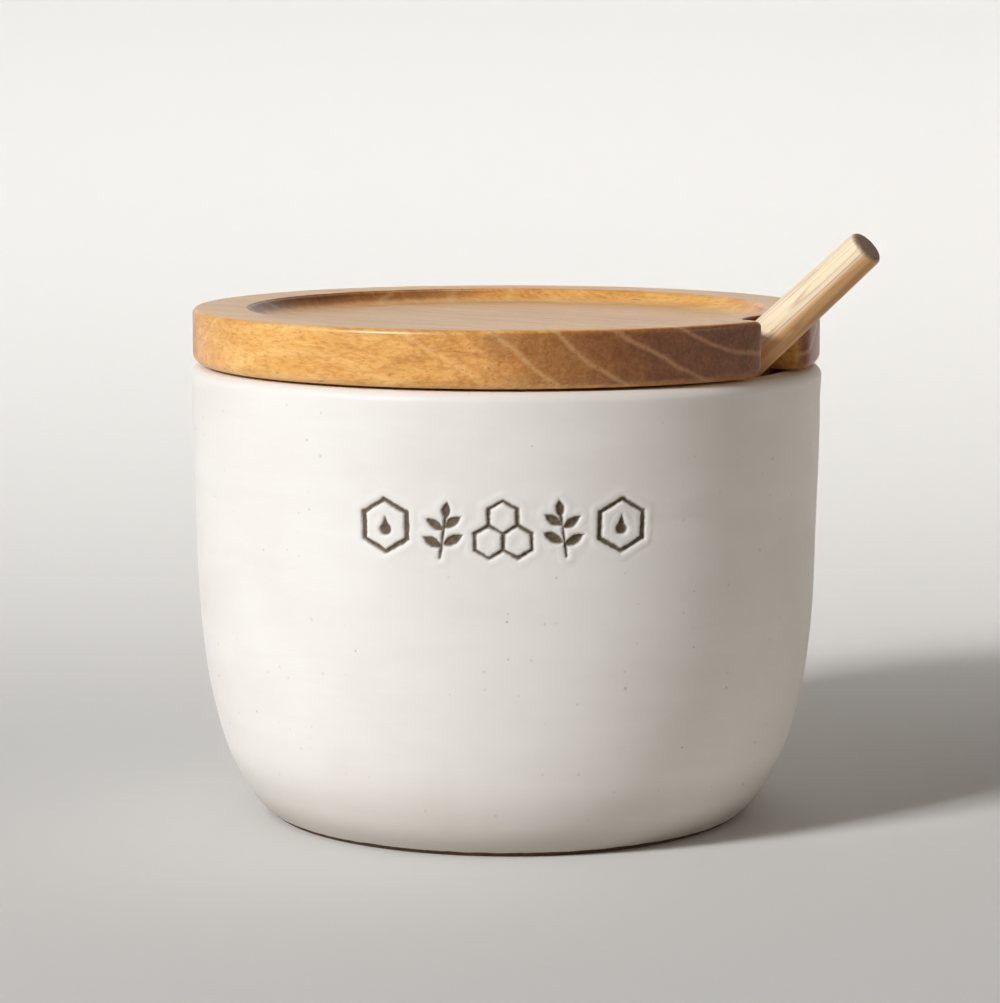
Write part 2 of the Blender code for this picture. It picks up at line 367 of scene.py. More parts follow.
def pot_profile():
    """From the inside floor up the inner wall, over the rim and down the outside to the foot."""
    inner_radius = RIM_RADIUS - WALL
    inside = body_curve(WALL, 60)[::-1]
    inside = inside[inside[:, 1] > FLOOR_THICKNESS + FLOOR_COVE_RISE]
    wall_r, wall_z = inside[0]
    cove = cubic(
        (wall_r - FLOOR_COVE_RUN, FLOOR_THICKNESS),
        (wall_r - FLOOR_COVE_RUN / 2, FLOOR_THICKNESS),
        (wall_r - FLOOR_COVE_RUN / 5, wall_z - FLOOR_COVE_RISE / 2),
        (wall_r, wall_z),
        12,
    )
    floor = np.c_[np.linspace(POLE_RING, cove[0, 0], 8), np.full(8, FLOOR_THICKNESS)]
    lip = arc(inner_radius + LIP_ROUNDING, RIM_HEIGHT - LIP_ROUNDING, LIP_ROUNDING, 180, 90, 7)
    rim = arc(RIM_RADIUS - RIM_ROUNDING, RIM_HEIGHT - RIM_ROUNDING, RIM_ROUNDING, 90, 0, 10)
    inner_wall = resample(np.vstack([inside, lip[:1]]), INSIDE_STEP)[1:-1]
    inner = np.vstack([floor[:-1], cove, inner_wall])
    outside = resample(np.vstack([rim[-1:], body_curve(0, 200)]), CURVE_STEP)
    foot_radius = CORNER_RADIUS - FOOT_INSET
    foot = np.array([
        (CORNER_RADIUS - 0.0002, CORNER_HEIGHT - 0.0002),
        (foot_radius, FOOT_HEIGHT - 0.0002),
        (foot_radius, FOOT_EDGE),
        (foot_radius - FOOT_EDGE * 0.3, FOOT_EDGE * 0.3),
        (foot_radius - FOOT_EDGE, 0.0),
        (foot_radius * 0.6, 0.0),
        (foot_radius * 0.2, 0.0),
    ])
    low, high = STAMP_HEIGHT - STAMP_BAND, STAMP_HEIGHT + STAMP_BAND
    above = resample(outside[outside[:, 1] > high], ABOVE_STEP)
    rows = np.arange(high, low, -STAMP_GRID)
    order = np.argsort(outside[:, 1])
    band = np.c_[np.interp(rows, outside[order, 1], outside[order, 0]), rows]
    below = resample(outside[outside[:, 1] < low], BELOW_STEP)
    return np.vstack([inner, lip, rim[1:-1], above, band, below, foot])


def pot_angles():
    """Angles round the pot from its front, close together where the ornament is."""
    reach = STAMP_REACH / WAIST_RADIUS
    fine = np.arange(-reach, reach, STAMP_GRID / WAIST_RADIUS)
    coarse = np.linspace(reach, 2 * math.pi - reach, COARSE_COLUMNS)[:-1]
    return np.r_[fine, coarse]


def segment_distance(x, y, ax, ay, bx, by):
    """Distance to a straight stroke, and how far along it the nearest place is."""
    dx, dy = bx - ax, by - ay
    t = np.clip(((x - ax) * dx + (y - ay) * dy) / (dx * dx + dy * dy), 0, 1)
    return np.hypot(x - ax - t * dx, y - ay - t * dy), t


def hexagon_stroke(x, y, radius, thick, thin):
    """A pointed-top honeycomb cell, its upright strokes a little thicker than the others."""
    best = np.full_like(x, FAR_OFF)
    turns = [k * math.pi / 3 for k in range(7)]
    corners = [(radius * math.sin(turn), radius * math.cos(turn)) for turn in turns]
    for k in range(6):
        (ax, ay), (bx, by) = corners[k], corners[k + 1]
        width = thick if k in (1, 4) else thin
        d, _ = segment_distance(x, y, ax, ay, bx, by)
        best = np.minimum(best, d - width / 2)
    return best


def leaf_shape(x, y, ax, ay, bx, by, swell):
    """A pointed leaf from a to b."""
    d, t = segment_distance(x, y, ax, ay, bx, by)
    return d - swell * np.sin(math.pi * np.clip(t, 0.02, 0.98)) ** 0.8


def sprig_shape(x, y, flip):
    """A small stem with leaves in pairs, leaning to one side."""
    x = x * flip
    stem, _ = segment_distance(x, y, -0.0004, -0.0045, 0.0004, 0.0030)
    best = stem - STEM_HALF
    for base, tip, swell in SPRIG_LEAVES:
        best = np.minimum(best, leaf_shape(x, y, *base, *tip, swell))
    return best


def comb_shape(x, y):
    """Three honeycomb cells that share their sides."""
    best = np.full_like(x, FAR_OFF)
    wide = COMB_CELL * math.sqrt(3) / 2
    low, high = -COMB_CELL * 0.72, COMB_CELL * 0.78
    for cx, cy in ((-wide, low), (wide, low), (0.0, high)):
        best = np.minimum(best, hexagon_stroke(x - cx, y - cy, COMB_CELL, *COMB_STROKES))
    return best


def cell_shape(x, y):
    """One honeycomb cell with a drop in it."""
    ring = hexagon_stroke(x, y, DROP_CELL, *DROP_STROKES)
    drop = np.hypot(x, y + 0.0006) - DROP_RADIUS
    neck, t = segment_distance(x, y, 0.0, -0.0002, 0.0, 0.0018)
    return np.minimum(ring, np.minimum(drop, neck - 0.0008 * (1 - t)))


def stamp_distance(x, z):
    """Signed distance to the nearest stamped stroke, in metres: negative inside it."""
    best = np.full_like(x, FAR_OFF)
    for k, (tilt, drop) in enumerate(zip(STAMP_TILTS, STAMP_DROPS)):
        cx = STAMP_LEFT + (k - 2) * STAMP_PITCH
        u, v = x - cx, z - STAMP_HEIGHT - drop
        c, s = math.cos(tilt), math.sin(tilt)
        u, v = u * c + v * s, v * c - u * s
        if k in (0, 4):
            d = cell_shape(u, v)
        elif k == 2:
            d = comb_shape(u, v)
        else:
            d = sprig_shape(u, v, 1 if k == 1 else -1)
        best = np.minimum(best, d)
    wobble = value_noise(x * 2200, z * 2200, 5) * 0.00007 + value_noise(x * 700, z * 700, 9) * 0.00006
    return best + wobble


def make_pot():
    """The glazed body: a turned shape with a slightly uneven wall and the stamped ornament."""
    profile = pot_profile()
    angles = pot_angles()
    rows, columns = len(profile), len(angles)
    r = np.repeat(profile[:, 0][:, None], columns, axis=1)
    z = np.repeat(profile[:, 1][:, None], columns, axis=1)
    a = np.repeat(angles[None, :], rows, axis=0)
    outer = (np.arange(rows) >= np.argmax(profile[:, 1]))[:, None]
    around = np.where(a > math.pi, a - 2 * math.pi, a) * WAIST_RADIUS
    wall = outer * smoothstep(*FADE_FOOT, z) * smoothstep(RIM_HEIGHT, RIM_HEIGHT - FADE_RIM, z)
    throwing = ring_noise(a + z * 30, z * 260, 5, 3) * THROWING_FINE
    throwing = throwing + ring_noise(a + z * 55, z * 90, 4, 7) * THROWING_BROAD
    r = r + wall * (throwing - WALL_SINK)
    near = np.abs(around) < STAMP_REACH
    flat = stamp_distance(around, z)
    pressed = smoothstep(*PRESS_EDGE, flat)
    rise = np.exp(-((flat - RAISED_PLACE) / RAISED_WIDTH) ** 2) * RAISED_HEIGHT
    in_band = outer & near & (np.abs(z - STAMP_HEIGHT) < STAMP_BAND)
    r = r + np.where(in_band, rise - pressed * STAMP_DEPTH, 0.0)
    x = r * np.sin(a)
    y = -r * np.cos(a)
    verts = np.stack([x, y, z], axis=2).reshape(-1, 3)
    verts = np.vstack([verts, [(0.0, 0.0, FLOOR_THICKNESS), (0.0, 0.0, 0.0)]])
    pot = object_from("pot_glazed", verts, rings_to_faces(rows, columns))
    ink = np.where(in_band, smoothstep(*INK_EDGE, flat), 0.0).reshape(-1)
    halo = np.where(in_band, np.exp(-np.clip(flat, 0, None) / HALO_REACH), 0.0).reshape(-1)
    for name, values in (("stamp", ink), ("halo", halo)):
        layer = pot.data.attributes.new(name, "FLOAT", "POINT")
        layer.data.foreach_set("value", np.r_[values, 0.0, 0.0].astype(np.float32))
    return pot


def axis_radius(z):
    """How far from the pot's axis the dipper's own axis is at a height."""
    centre_r = RIM_RADIUS - WALL + LIP_ROUNDING
    reach = LIP_ROUNDING + HANDLE_RADIUS + CONTACT_GAP
    at_rim = centre_r + (LIP_ROUNDING * math.cos(DIPPER_RISE) - reach) / math.sin(DIPPER_RISE)
    return at_rim + (z - RIM_HEIGHT) / math.tan(DIPPER_RISE)


def notch_end(z):
    """The distance from the axis of the notch's sloping inner end at a height."""
    return axis_radius(z) - (HANDLE_RADIUS + NOTCH_CLEARANCE) / math.sin(DIPPER_RISE)


def outline(radius, widen, z, mouth=NOTCH_MOUTH_ROUNDING):
    """The lid's outline at a height, with the notch widened all round, counter-clockwise.

    Each point is (outwards, sideways) from the pot's axis, outwards being the notch's direction.
    """
    half = NOTCH_HALF + widen
    end = notch_end(z) - widen
    side_y = half + mouth
    centre_s = math.sqrt((radius - mouth) ** 2 - side_y ** 2)
    touch = math.atan2(side_y, centre_s)
    round_part = arc(0.0, 0.0, radius, math.degrees(touch), 360 - math.degrees(touch), 260)
    mouth_part = arc(centre_s, -side_y, mouth, -math.degrees(touch), 90, 8)[1:]
    run = min(NOTCH_CORNER / math.sin(DIPPER_RISE), centre_s - end - NOTCH_STRAIGHT)
    t = np.linspace(0, math.pi / 2, 11)
    corner = np.c_[end + run - run * np.sin(t), -half + NOTCH_CORNER - NOTCH_CORNER * np.cos(t)]
    wall = np.linspace((centre_s, -half), corner[0], 13)[1:]
    corner = corner[1:]
    flat = np.linspace(corner[-1], (end, 0.0), 7)[1:]
    near_side = np.vstack([mouth_part, wall, corner, flat])
    far_side = near_side[::-1][1:] * (1, -1)
    return np.vstack([round_part, near_side, far_side[:-1]])


def even_ring(radius, like):
    """A plain ring with an outline's number of points, those of the notch spread to both sides of it."""
    steps = np.linalg.norm(np.diff(np.vstack([like, like[:1]]), axis=0), axis=1)
    travelled = np.r_[0, np.cumsum(steps)]
    angle = np.unwrap(np.arctan2(like[:, 1], like[:, 0]))
    low = int(np.argmax(angle > 2 * math.pi - NOTCH_SPREAD))
    high = int(np.argmax(angle >= NOTCH_SPREAD))
    order = np.r_[np.arange(low, len(like)), np.arange(0, high + 1)]
    way = np.r_[travelled[low:-1], travelled[: high + 1] + travelled[-1]]
    share = (way - way[0]) / (way[-1] - way[0])
    begin, finish = angle[low], angle[high] + 2 * math.pi
    angle[order] = begin + share * (finish - begin)
    return np.c_[radius * np.cos(angle), radius * np.sin(angle)]


def lid_levels():
    """The lid's rings, each with its height: recess, top rounding, side, low rounding and plug."""
    floor_z = LID_TOP - RECESS_DEPTH
    rho, low = LID_TOP_ROUNDING, LID_LOW_ROUNDING
    top = outline(LID_RADIUS - rho, rho, LID_TOP)
    cove_r = RECESS_RADIUS - RECESS_COVE * math.sin(math.radians(RECESS_STEEPEST_DEG))
    cove = arc(cove_r, floor_z + RECESS_COVE, RECESS_COVE, -90, RECESS_STEEPEST_DEG - 90, 12)
    crest_r, crest_z = RECESS_RADIUS + RECESS_CREST, LID_TOP - RECESS_CREST
    crest = arc(crest_r, crest_z, RECESS_CREST, RECESS_STEEPEST_DEG + 90, 90, 6)
    levels = [(even_ring(r, top), floor_z) for r in RECESS_RINGS]
    levels += [(even_ring(r, top), z) for r, z in np.vstack([cove, crest])]
    turns = np.radians(np.linspace(0, 90, ROUNDING_STEPS + 1))
    for turn in turns[::-1]:
        inset = rho - rho * math.cos(turn)
        z = LID_TOP - rho + rho * math.sin(turn)
        levels.append((outline(LID_RADIUS - inset, inset, z), z))
    for z in np.linspace(LID_TOP - rho, LID_BOTTOM + low, 8)[1:-1]:
        levels.append((outline(LID_RADIUS, 0.0, z), z))
    for turn in turns:
        inset = low - low * math.cos(turn)
        z = LID_BOTTOM + low - low * math.sin(turn)
        levels.append((outline(LID_RADIUS - inset, LOW_SPLAY * inset / low, z), z))
    for radius, z in (
        (PLUG_RADIUS, LID_BOTTOM),
        (PLUG_RADIUS, LID_BOTTOM - PLUG_STEP),
        (PLUG_RADIUS, PLUG_BOTTOM + PLUG_CHAMFER),
        (PLUG_RADIUS - PLUG_CHAMFER, PLUG_BOTTOM),
    ):
        widen = PLUG_SPLAY + PLUG_RADIUS - radius
        levels.append((outline(radius, widen, z, PLUG_MOUTH_ROUNDING), z))
    plug = levels[-1][0]
    return levels + [(even_ring(r, plug), PLUG_BOTTOM) for r in PLUG_RINGS]


def make_lid():
    """The wooden lid: raised ring, shallow recess, locating plug and the notch for the dipper."""
    levels = lid_levels()
    side = Vector((0.0, 0.0, 1.0)).cross(OUTWARDS)
    verts = []
    for points, z in levels:
        x = points[:, 0] * OUTWARDS.x + points[:, 1] * side.x
        y = points[:, 0] * OUTWARDS.y + points[:, 1] * side.y
        verts.append(np.c_[x, y, np.full(len(points), z)])
    verts.append([(0.0, 0.0, LID_TOP - RECESS_DEPTH), (0.0, 0.0, PLUG_BOTTOM)])
    faces = rings_to_faces(len(levels), len(levels[0][0]))
    return object_from("lid_board", np.vstack(verts), faces)


def dipper_base():
    """The lower end of the dipper's own axis."""
    rim = OUTWARDS * axis_radius(RIM_HEIGHT) + Vector((0.0, 0.0, RIM_HEIGHT))
    return rim - LEAN * (HEAD_LENGTH + HANDLE_BELOW_RIM)


def head_radius(up):
    """The grooved head's radius at a height above its lower end."""
    down = (HEAD_LENGTH - up) / HEAD_LENGTH
    swell = np.sin(math.pi * (HEAD_START + HEAD_SPAN * down))
    full = HEAD_RADIUS * np.clip(swell, 0, 1) ** HEAD_FULLNESS
    rib = np.clip(1 - np.abs((down * RIBS) % 1.0 - RIB_CENTRE) / 0.5, 0, 1)
    rib = 1 - (1 - np.clip(rib * RIB_WIDTH - 0.02, 0, 1)) ** RIB_ROUNDNESS
    return np.maximum(full - GROOVE_DEPTH * (1 - rib), NECK_RADIUS)


def make_dipper():
    """The wooden dipper along its own axis, then leaned out through the notch."""
    rim = HEAD_LENGTH + HANDLE_BELOW_RIM
    face_radius = TIP_RADIUS - TIP_ROUNDING
    tip = arc(face_radius, DIPPER_LENGTH - TIP_ROUNDING, TIP_ROUNDING, 90, 8, 7)
    face = np.c_[np.linspace(0.0006, face_radius, 4)[:-1], np.full(3, DIPPER_LENGTH)]
    marks = np.array([
        tip[-1],
        (HANDLE_RADIUS, rim),
        (HANDLE_RADIUS, rim - HANDLE_TAPER),
        (NECK_RADIUS, HEAD_LENGTH + NECK_LENGTH),
    ])
    handle = resample(marks, 0.0022)[1:]
    up = np.linspace(HEAD_LENGTH, 0.0012, 120)
    head = np.c_[head_radius(up), up]
    last = head[-1, 0]
    end = np.array([(last * 0.93, 0.0006), (last * 0.7, 0.0), (last * 0.3, 0.0)])
    profile = np.vstack([face, tip, handle, head, end])
    a = np.linspace(0, 2 * math.pi, DIPPER_COLUMNS, endpoint=False)[None, :]
    r = profile[:, 0][:, None] * np.ones_like(a)
    z = profile[:, 1][:, None] * np.ones_like(a)
    verts = np.stack([r * np.cos(a), r * np.sin(a), z], axis=2).reshape(-1, 3)
    verts = np.vstack([verts, [(0.0, 0.0, DIPPER_LENGTH), (0.0, 0.0, 0.0)]])
    turn = np.array(LEAN.to_track_quat("Z", "Y").to_matrix())
    verts = verts @ turn.T + np.array(dipper_base())
    return object_from("dipper_turned", verts, rings_to_faces(len(profile), DIPPER_COLUMNS))


class Nodes:
    """Short calls for building one material's node tree."""

    def __init__(self, name):
        self.material = bpy.data.materials.new(name)
        self.material.use_nodes = True
        self.tree = self.material.node_tree
        self.surface = self.tree.nodes["Principled BSDF"]

    def add(self, kind, inputs=None, **settings):
        node = self.tree.nodes.new(kind)
        for key, value in settings.items():
            setattr(node, key, value)
        for key, value in (inputs or {}).items():
            self.put(node.inputs[key], value)
        return node

    def put(self, socket, value):
        if isinstance(value, bpy.types.NodeSocket):
            self.tree.links.new(value, socket)
        elif isinstance(value, (tuple, list)) and len(value) == 3 and socket.type == "RGBA":
            socket.default_value = (*value, 1.0)
        else:
            socket.default_value = value

    def math(self, operation, a, b=0.0, c=0.0, clamp=False):
        node = self.add("ShaderNodeMath", operation=operation, use_clamp=clamp)
        for i, value in enumerate((a, b, c)):
            self.put(node.inputs[i], value)
        return node.outputs[0]

    def mix(self, factor, a, b):
        node = self.add("ShaderNodeMix", data_type="RGBA")
        self.put(node.inputs[0], factor)
        self.put(node.inputs[6], a)
        self.put(node.inputs[7], b)
        return node.outputs[2]

    def ramp(self, value, stops, interpolation="LINEAR"):
        node = self.add("ShaderNodeValToRGB", {"Fac": value})
        ramp = node.color_ramp
        ramp.interpolation = interpolation
        while len(ramp.elements) < len(stops):
            ramp.elements.new(0.5)
        for element, (place, tone) in zip(ramp.elements, stops):
            colour = tone if isinstance(tone, tuple) else (tone, tone, tone)
            element.position = place
            element.color = (*colour, 1.0)
        return node.outputs["Color"]

    def span(self, value, low, high):
        """From 0 at low to 1 at high."""
        inputs = {"Value": value, "From Min": low, "From Max": high}
        return self.add("ShaderNodeMapRange", inputs).outputs["Result"]

    def vector(self, operation, a, b):
        node = self.add("ShaderNodeVectorMath", {0: a, 1: b}, operation=operation)
        return node.outputs["Value" if operation == "DOT_PRODUCT" else "Vector"]

    def part(self, vector, axis):
        return self.add("ShaderNodeSeparateXYZ", {"Vector": vector}).outputs[axis]

    def object_space(self):
        return self.add("ShaderNodeTexCoord").outputs["Object"]

    def scaled(self, vector, scale):
        mapping = self.add("ShaderNodeMapping", {"Vector": vector})
        mapping.inputs["Scale"].default_value = scale
        return mapping.outputs["Vector"]

    def own_axes(self, rotation, location=(0.0, 0.0, 0.0)):
        """Coordinates in axes of the piece's own, turned and moved from the frame's."""
        mapping = self.add("ShaderNodeMapping", {"Vector": self.object_space()}, vector_type="TEXTURE")
        mapping.inputs["Location"].default_value = location
        mapping.inputs["Rotation"].default_value = rotation
        return mapping.outputs["Vector"]

    def noise(self, vector, scale, detail=3.0, roughness=0.5, distortion=0.0):
        inputs = {"Vector": vector, "Scale": scale, "Detail": detail}
        inputs.update({"Roughness": roughness, "Distortion": distortion})
        return self.add("ShaderNodeTexNoise", inputs).outputs["Fac"]

    def bump(self, height, strength, distance, normal=None):
        node = self.add("ShaderNodeBump", {"Height": height, "Strength": strength, "Distance": distance})
        if normal is not None:
            self.put(node.inputs["Normal"], normal)
        return node.outputs["Normal"]


def attribute(nodes, name):
    return nodes.add("ShaderNodeAttribute", attribute_name=name).outputs["Fac"]


def specks(n, vector, scale, size, share, seed):
    """Small round iron spots: a share of the cells of a Voronoi pattern holds one."""
    shifted = n.vector("ADD", vector, (seed, seed * 0.7, seed * 1.3))
    inputs = {"Vector": shifted, "Scale": scale, "Randomness": 1.0}
    cells = n.add("ShaderNodeTexVoronoi", inputs).outputs
    parts = n.add("ShaderNodeSeparateColor", {"Color": cells["Color"]}).outputs
    chosen = n.math("LESS_THAN", parts["Red"], share)
    reach = n.math("MULTIPLY_ADD", parts["Green"], size, size * 0.35)
    near = n.math("DIVIDE", cells["Distance"], reach)
    spot = n.math("SUBTRACT", 1.0, n.math("SMOOTH_MIN", near, 1.0, 0.2), clamp=True)
    spot = n.math("MULTIPLY", n.math("MULTIPLY", spot, 2.4, clamp=True), chosen)
    depth = n.math("MULTIPLY_ADD", n.math("POWER", parts["Blue"], 5.0), 0.7, 0.3)
    return n.math("MULTIPLY", spot, depth)


def stoneware_material():
    """Warm white satin glaze with faint bands and iron specks, brown in the stamps, painted shade just
    above the foot, bare at the foot.
    """
    n = Nodes("stoneware_glaze")
    plain = n.object_space()
    bands = n.scaled(plain, (0.18, 0.18, 1.0))
    broad = n.noise(bands, 95.0, 4.0, 0.55, 0.3)
    fine = n.noise(bands, 420.0, 3.0, 0.6, 0.2)
    cloud = n.noise(plain, 46.0, 3.0, 0.5, 0.4)
    tone = n.math("ADD", n.math("MULTIPLY", broad, 0.5), n.math("MULTIPLY", cloud, 0.5))
    base = n.ramp(tone, GLAZE)
    band = n.math("MULTIPLY", n.math("SUBTRACT", fine, 0.5), 0.35, clamp=True)
    base = n.mix(band, base, GLAZE_BAND)
    small = specks(n, plain, 520.0, 0.15, 0.22, 1.7)
    large = specks(n, plain, 230.0, 0.085, 0.15, 9.1)
    base = n.mix(n.math("MULTIPLY", small, 0.62), base, SMALL_SPECK)
    base = n.mix(n.math("MULTIPLY", large, 0.52), base, LARGE_SPECK)
    height = n.part(plain, "Z")
    # Painted shade: the glaze is darkened towards the foot, where the lower curve faces down away from
    # the light
    foot = n.ramp(n.math("DIVIDE", height, FOOT_PAINTED_SHADE_HEIGHT), FOOT_PAINTED_SHADE_SHARE, "EASE")
    base = n.mix(n.math("MULTIPLY", foot, 0.72), base, FOOT_PAINTED_SHADE_COLOUR)
    base = n.mix(n.math("MULTIPLY", attribute(n, "halo"), 0.30), base, GLAZE_HALO)
    stamp = attribute(n, "stamp")
    base = n.mix(stamp, base, n.ramp(n.noise(plain, 1500.0, 2.0, 0.6), STAMP_BROWN))
    wander = n.math("SUBTRACT", n.noise(plain, 260.0, 3.0), 0.5)
    wander = n.math("MULTIPLY", wander, BARE_WANDER)
    bare = n.math("LESS_THAN", n.math("ADD", height, wander), BARE_HEIGHT)
    base = n.mix(bare, base, n.ramp(n.noise(plain, 900.0, 4.0, 0.6), BARE_CLAY))
    n.put(n.surface.inputs["Base Color"], base)
    rough = n.math("MULTIPLY_ADD", cloud, 0.12, 0.42)
    rough = n.math("ADD", rough, n.math("MULTIPLY", stamp, 0.18))
    rough = n.math("ADD", rough, n.math("MULTIPLY", bare, 0.35), clamp=True)
    n.put(n.surface.inputs["Roughness"], rough)
    n.surface.inputs["Specular IOR Level"].default_value = 0.3
    normal = n.bump(n.noise(plain, 700.0, 3.0, 0.55), 0.10, 0.0003)
    normal = n.bump(broad, 0.22, 0.0012, normal)
    pits = n.math("SUBTRACT", 1.0, n.math("MULTIPLY", small, 0.5))
    n.put(n.surface.inputs["Normal"], n.bump(pits, 0.25, 0.0002, normal))
    return n.material


def bent_grain(n, local):
    """The lid's own coordinates, waved a little as grain is."""
    inputs = {"Vector": n.scaled(local, (0.22, 1.0, 1.0)), "Scale": 48.0, "Detail": 3.0}
    warp = n.add("ShaderNodeTexNoise", inputs)
    shift = n.vector("SUBTRACT", warp.outputs["Color"], (0.5, 0.5, 0.5))
    shift = n.vector("MULTIPLY", shift, (GRAIN_WAVE, GRAIN_WAVE, GRAIN_WAVE))
    return n.vector("ADD", local, shift)


def lid_wood_material():
    """Oiled acacia, golden along the grain and walnut-dark where the ends of the fibres show.

    The fibres run level towards the right front. The rings lie round a heart above that side. The upward
    faces carry a painted sheen, a paler tone for the light they reflect.
    """
    n = Nodes("lid_acacia")
    bent = bent_grain(n, n.own_axes((0.0, 0.0, GRAIN_AZIMUTH - math.pi / 2)))
    normal_in = n.add("ShaderNodeNewGeometry").outputs["Normal"]
    along = (math.sin(GRAIN_AZIMUTH), -math.cos(GRAIN_AZIMUTH), 0.0)
    end_grain = n.math("ABSOLUTE", n.vector("DOT_PRODUCT", normal_in, along))

    from_heart = n.vector("MULTIPLY", n.vector("SUBTRACT", bent, HEART), (0.0, 1.0, 1.0))
    radius = n.math("SQRT", n.vector("DOT_PRODUCT", from_heart, from_heart))
    turns = n.math("SUBTRACT", radius, FIRST_RING - RING_PITCH / 2)
    cycle = n.math("FRACT", n.math("DIVIDE", turns, RING_PITCH))
    off_line = n.math("ABSOLUTE", n.math("SUBTRACT", cycle, 0.5))
    line = n.math("SUBTRACT", 1.0, n.math("DIVIDE", off_line, RING_LINE_HALF), clamp=True)
    late = n.ramp(cycle, LATE_SHARE)

    streaks = n.noise(n.scaled(bent, (0.10, 1.0, 1.0)), 420.0, 5.0, 0.6, 0.5)
    broad = n.noise(n.scaled(bent, (0.16, 1.0, 1.0)), 120.0, 4.0, 0.55, 0.6)
    flecks = n.noise(n.scaled(bent, (0.32, 1.0, 1.0)), 1650.0, 3.0, 0.65, 0.3)
    pores = n.noise(n.scaled(bent, (0.12, 1.0, 1.0)), 1900.0, 2.0, 0.55, 0.2)

    edge = n.math("ADD", end_grain, n.math("MULTIPLY", n.math("SUBTRACT", broad, 0.5), 0.50))
    edge = n.math("ADD", edge, n.math("MULTIPLY", n.math("SUBTRACT", DARK_RADIUS, radius), 9.0))
    warm = n.ramp(edge, WARM_SHARE)
    dark = n.ramp(edge, DARK_SHARE)
    tone = n.math("ADD", n.math("MULTIPLY", streaks, 0.6), n.math("MULTIPLY", broad, 0.4))
    golden = n.mix(warm, n.ramp(tone, GOLDEN), n.ramp(tone, ORANGE))
    wood = n.mix(dark, golden, n.ramp(tone, WALNUT))
    wood = n.mix(n.math("MULTIPLY", late, 0.22), wood, n.mix(dark, *LATE_WOOD))
    line = n.math("MULTIPLY", line, n.math("MULTIPLY_ADD", dark, 0.52, 0.25))
    wood = n.mix(line, wood, n.mix(dark, *RING_LINE))
    light_spots = n.ramp(flecks, [(0.50, 0.0), (0.66, 1.0)])
    wood = n.mix(n.math("MULTIPLY", light_spots, 0.30), wood, n.mix(dark, *LIGHT_FLECK))
    dark_spots = n.ramp(flecks, [(0.36, 1.0), (0.48, 0.0)])
    wood = n.mix(n.math("MULTIPLY", dark_spots, 0.42), wood, n.mix(dark, *DARK_FLECK))
    holes = n.ramp(pores, [(0.24, 1.0), (0.34, 0.0)])
    wood = n.mix(n.math("MULTIPLY", holes, 0.60), wood, PORE)
    # Painted sheen: upward faces are mixed towards a pale tan for the reflected light of the bright wall
    face = n.span(n.part(normal_in, "Z"), 0.80, 0.99)
    wood = n.mix(n.math("MULTIPLY", face, 0.27), wood, TOP_PAINTED_SHEEN)
    n.put(n.surface.inputs["Base Color"], wood)
    n.put(n.surface.inputs["Roughness"], n.math("MULTIPLY_ADD", flecks, 0.14, 0.29))
    n.surface.inputs["Specular IOR Level"].default_value = 0.6
    relief = n.math("SUBTRACT", n.math("MULTIPLY", flecks, 0.5), n.math("MULTIPLY", holes, 0.7))
    n.put(n.surface.inputs["Normal"], n.bump(relief, 0.16, 0.00014))
    return n.material


def dipper_wood_material():
    """Pale beech above and redder wood below, partly core wood and partly a painted warm bounce from the
    lid, with long grain, small rays and a sawn end.
    """
    n = Nodes("dipper_beech")
    coords = n.own_axes(LEAN.to_track_quat("Z", "Y").to_euler(), dipper_base())
    stretched = n.scaled(coords, (1.0, 1.0, 0.035))
    streaks = n.noise(stretched, 700.0, 4.0, 0.6, 0.3)
    broad = n.noise(stretched, 190.0, 3.0, 0.5, 0.5)
    tone = n.math("ADD", n.math("MULTIPLY", streaks, 0.55), n.math("MULTIPLY", broad, 0.45))
    wander = n.math("MULTIPLY", n.math("SUBTRACT", broad, 0.5), SEAM_WANDER)
    across = n.math("ADD", n.part(coords, "Y"), wander)
    # The underside is redder: partly real core wood, partly painted warm bounce light from the lid
    wood = n.mix(n.span(across, *CORE_AND_BOUNCE_TO_SAP), n.ramp(tone, CORE_AND_PAINTED_BOUNCE), n.ramp(tone, SAPWOOD))
    seam = n.math("ABSOLUTE", n.math("SUBTRACT", across, SEAM_PLACE))
    seam = n.math("SUBTRACT", 1.0, n.math("DIVIDE", seam, SEAM_HALF), clamp=True)
    wood = n.mix(n.math("MULTIPLY", seam, 0.6), wood, SEAM)
    grain = n.noise(stretched, 420.0, 2.0, 0.4, 0.2)
    lines = n.ramp(grain, [(0.485, 0.0), (0.50, 1.0), (0.515, 0.0)])
    wood = n.mix(n.math("MULTIPLY", lines, 0.45), wood, GRAIN_LINE)
    rays = n.noise(n.scaled(coords, (1.0, 1.0, 0.25)), 1900.0, 2.0, 0.5)
    rays = n.ramp(rays, [(0.60, 0.0), (0.72, 1.0)])
    wood = n.mix(n.math("MULTIPLY", rays, 0.18), wood, RAY)
    end = n.span(n.part(coords, "Z"), DIPPER_LENGTH - 0.00075, DIPPER_LENGTH - 0.00015)
    wood = n.mix(end, wood, n.ramp(n.noise(coords, 2600.0, 3.0, 0.7), SAWN_END))
    n.put(n.surface.inputs["Base Color"], wood)
    n.put(n.surface.inputs["Roughness"], n.math("MULTIPLY_ADD", streaks, 0.15, 0.45))
    n.surface.inputs["Specular IOR Level"].default_value = 0.4
    n.put(n.surface.inputs["Normal"], n.bump(streaks, 0.30, 0.00012))
    return n.material


def floor_material():
    """A plain pale surface with a faint mottle, a little deeper in tone where the wash falls."""
    n = Nodes("sweep_pale")
    coords = n.object_space()
    tone = n.mix(n.span(n.part(coords, "Y"), *FLOOR_DEEPENS), FLOOR_PALE, FLOOR_DEEPER)
    mottle = n.math("MULTIPLY", n.noise(coords, 260.0, 4.0, 0.6), 0.06)
    n.put(n.surface.inputs["Base Color"], n.mix(mottle, tone, FLOOR_MOTTLE))
    n.surface.inputs["Roughness"].default_value = 0.75
    return n.material


